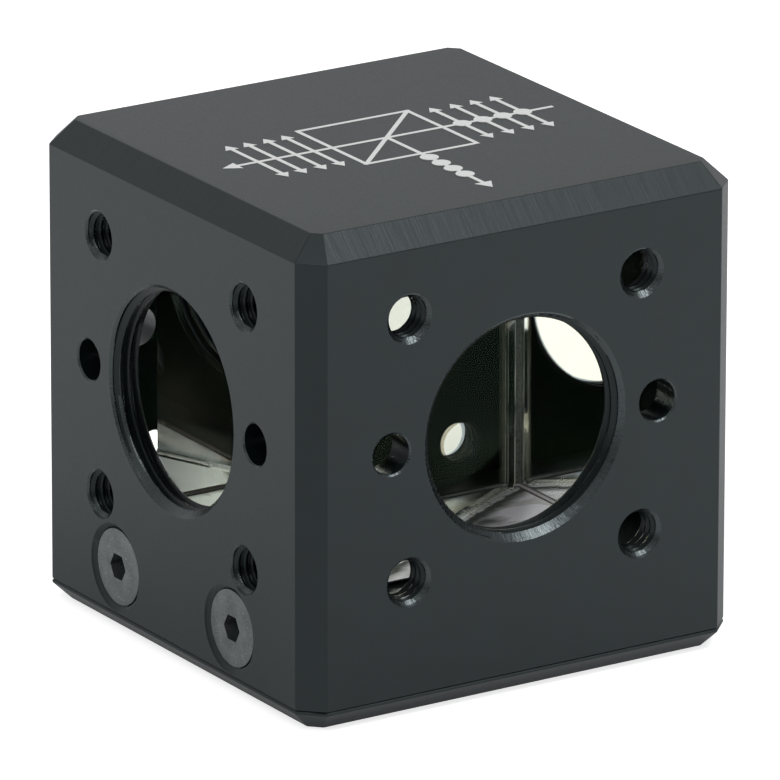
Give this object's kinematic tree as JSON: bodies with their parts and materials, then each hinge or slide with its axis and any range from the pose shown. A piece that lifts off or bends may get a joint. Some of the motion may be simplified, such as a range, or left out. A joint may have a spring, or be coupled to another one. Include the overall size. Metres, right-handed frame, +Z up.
{
  "type": "polarizing beamsplitter cube",
  "caption": "Black cube housing with a threaded port on each side and a bonded wire-grid beamsplitter cube inside, for splitting a beam by polarization.",
  "frame": {"origin": "centre of the underside of the base flange", "axes": "+Z up, through the top face; +X out of the port that light enters (right); -Y out of the port that the reflected beam leaves by (front); the cube's diagonal runs from the -X-Y edge to the +X+Y edge"},
  "size_m": [0.0298, 0.0298, 0.0299],
  "materials": {
    "anodised_aluminium": "matte black anodised",
    "prism_glass": "polished optical glass, ground top and underside",
    "wire_grid": "glass plate with an aluminium wire-grid coating",
    "optical_cement": "clear cured cement",
    "adhesive": "cured translucent adhesive",
    "screw_steel": "black oxide"
  },
  "bodies": {
    "root": {"housing": "anodised_aluminium", "base_plate": "anodised_aluminium", "input_prism": "prism_glass", "output_prism": "prism_glass", "wire_grid_plate": "wire_grid", "input_cement": "optical_cement", "output_cement": "optical_cement", "cube_adhesive": "adhesive", "screw_left_front": "screw_steel", "screw_left_back": "screw_steel", "screw_right_front": "screw_steel", "screw_right_back": "screw_steel"}
  },
  "joints": []
}
